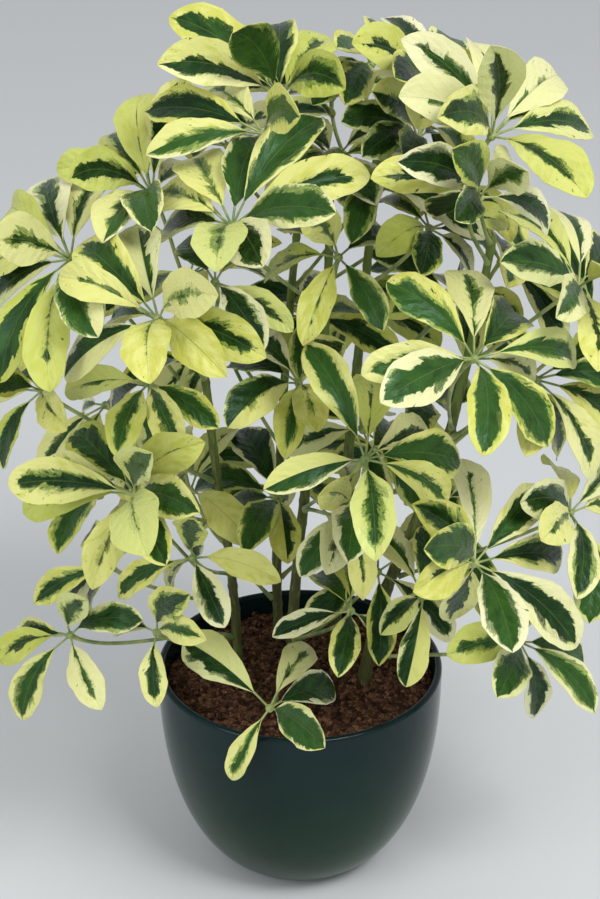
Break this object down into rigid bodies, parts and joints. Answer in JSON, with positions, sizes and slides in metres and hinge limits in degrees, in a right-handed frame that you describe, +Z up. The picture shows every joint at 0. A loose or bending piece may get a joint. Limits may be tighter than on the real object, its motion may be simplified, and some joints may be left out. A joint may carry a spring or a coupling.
{
  "type": "potted schefflera",
  "caption": "Bushy variegated umbrella plant with yellow-edged green leaflets in wheels, in a round dark green glazed pot.",
  "frame": {"origin": "centre of the pot's foot, on the surface it stands on", "axes": "+Z up; -Y towards the side that the picture shows, +X to that side's right"},
  "size_m": [0.489, 0.4403, 0.6498],
  "materials": {
    "pot_glaze": "gloss",
    "potting_soil": "matte",
    "cane_bark": "matte",
    "variegated_leaf": "satin"
  },
  "bodies": {
    "root": {"cane_back": "cane_bark", "cane_centre": "cane_bark", "cane_left": "cane_bark", "cane_middle": "cane_bark", "cane_right": "cane_bark", "leaf_back_01": "variegated_leaf", "leaf_back_02": "variegated_leaf", "leaf_back_03": "variegated_leaf", "leaf_back_04": "variegated_leaf", "leaf_back_05": "variegated_leaf", "leaf_back_06": "variegated_leaf", "leaf_back_07": "variegated_leaf", "leaf_back_08": "variegated_leaf", "leaf_back_09": "variegated_leaf", "leaf_centre_01": "variegated_leaf", "leaf_centre_02": "variegated_leaf", "leaf_centre_03": "variegated_leaf", "leaf_centre_04": "variegated_leaf", "leaf_centre_05": "variegated_leaf", "leaf_centre_06": "variegated_leaf", "leaf_centre_07": "variegated_leaf", "leaf_centre_08": "variegated_leaf", "leaf_centre_09": "variegated_leaf", "leaf_centre_10": "variegated_leaf", "leaf_left_01": "variegated_leaf", "leaf_left_02": "variegated_leaf", "leaf_left_03": "variegated_leaf", "leaf_left_04": "variegated_leaf", "leaf_left_05": "variegated_leaf", "leaf_left_06": "variegated_leaf", "leaf_left_07": "variegated_leaf", "leaf_left_08": "variegated_leaf", "leaf_left_09": "variegated_leaf", "leaf_left_10": "variegated_leaf", "leaf_left_11": "variegated_leaf", "leaf_left_12": "variegated_leaf", "leaf_left_13": "variegated_leaf", "leaf_middle_01": "variegated_leaf", "leaf_middle_02": "variegated_leaf", "leaf_middle_03": "variegated_leaf", "leaf_middle_04": "variegated_leaf", "leaf_middle_05": "variegated_leaf", "leaf_middle_06": "variegated_leaf", "leaf_middle_07": "variegated_leaf", "leaf_middle_08": "variegated_leaf", "leaf_right_01": "variegated_leaf", "leaf_right_02": "variegated_leaf", "leaf_right_03": "variegated_leaf", "leaf_right_04": "variegated_leaf", "leaf_right_05": "variegated_leaf", "leaf_right_06": "variegated_leaf", "leaf_right_07": "variegated_leaf", "leaf_right_08": "variegated_leaf", "leaf_right_09": "variegated_leaf", "leaf_right_10": "variegated_leaf", "leaf_right_11": "variegated_leaf", "leaf_right_12": "variegated_leaf", "pot": "pot_glaze", "soil": "potting_soil"}
  },
  "joints": []
}
